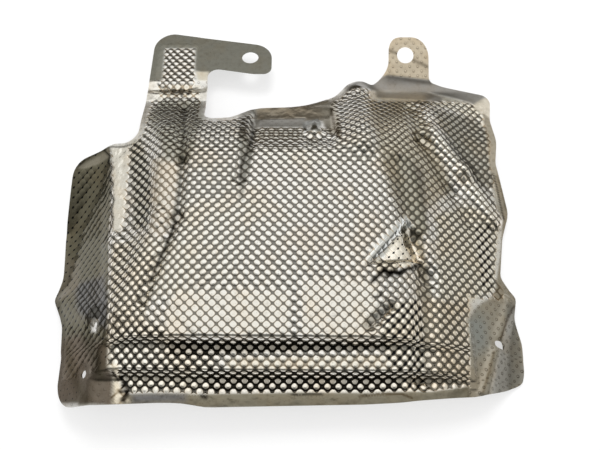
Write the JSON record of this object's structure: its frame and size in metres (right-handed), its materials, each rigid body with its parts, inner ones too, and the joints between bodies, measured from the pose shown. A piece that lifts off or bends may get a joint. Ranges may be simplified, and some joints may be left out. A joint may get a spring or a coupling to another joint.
{
  "type": "exhaust heat shield",
  "caption": "Shallow dish pressed from embossed aluminium sheet, with a folded side wing, front steps, a hooked arm and a tab with bolt holes.",
  "frame": {"origin": "centre of the bounding box in plan, on the surface that the shield lies on with its dished side down", "axes": "+X towards the edge with the short tab's side, +Y towards the arm and the tab, +Z out of the raised face"},
  "size_m": [0.2416, 0.2292, 0.0356],
  "materials": {
    "sheet": "embossed bright sheet with tan heat tint and grey film"
  },
  "bodies": {
    "root": {"heat_shield": "sheet"}
  },
  "joints": []
}
